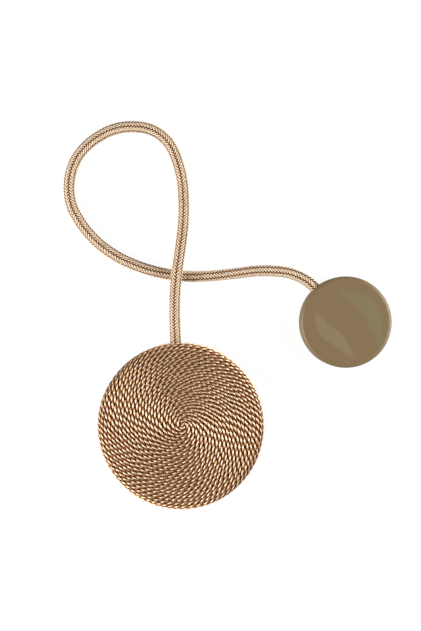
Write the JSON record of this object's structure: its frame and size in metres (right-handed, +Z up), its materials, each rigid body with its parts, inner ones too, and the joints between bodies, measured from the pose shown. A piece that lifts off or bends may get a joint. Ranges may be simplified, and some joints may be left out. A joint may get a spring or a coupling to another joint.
{
  "type": "magnetic curtain tieback",
  "caption": "Curtain tieback: a domed disc wound with thin twisted cord and a plain magnet disc, joined by a braided rope that lies in a loop.",
  "frame": {"origin": "centre of the wound disc's flat underside, on the surface that the tieback lies on", "axes": "+Z up out of the wound face, +Y from the wound disc along the rope as it leaves it, +X to the right with the rope's loop ahead"},
  "size_m": [0.1478, 0.1752, 0.0155],
  "materials": {
    "wound_cord": "satin twisted cord, tan",
    "braided_rope": "satin round braid, tan",
    "magnet_plastic": "glossy moulded, khaki brown"
  },
  "bodies": {
    "root": {"wound_disc": "wound_cord", "rope": "braided_rope", "magnet_disc": "magnet_plastic"}
  },
  "joints": []
}
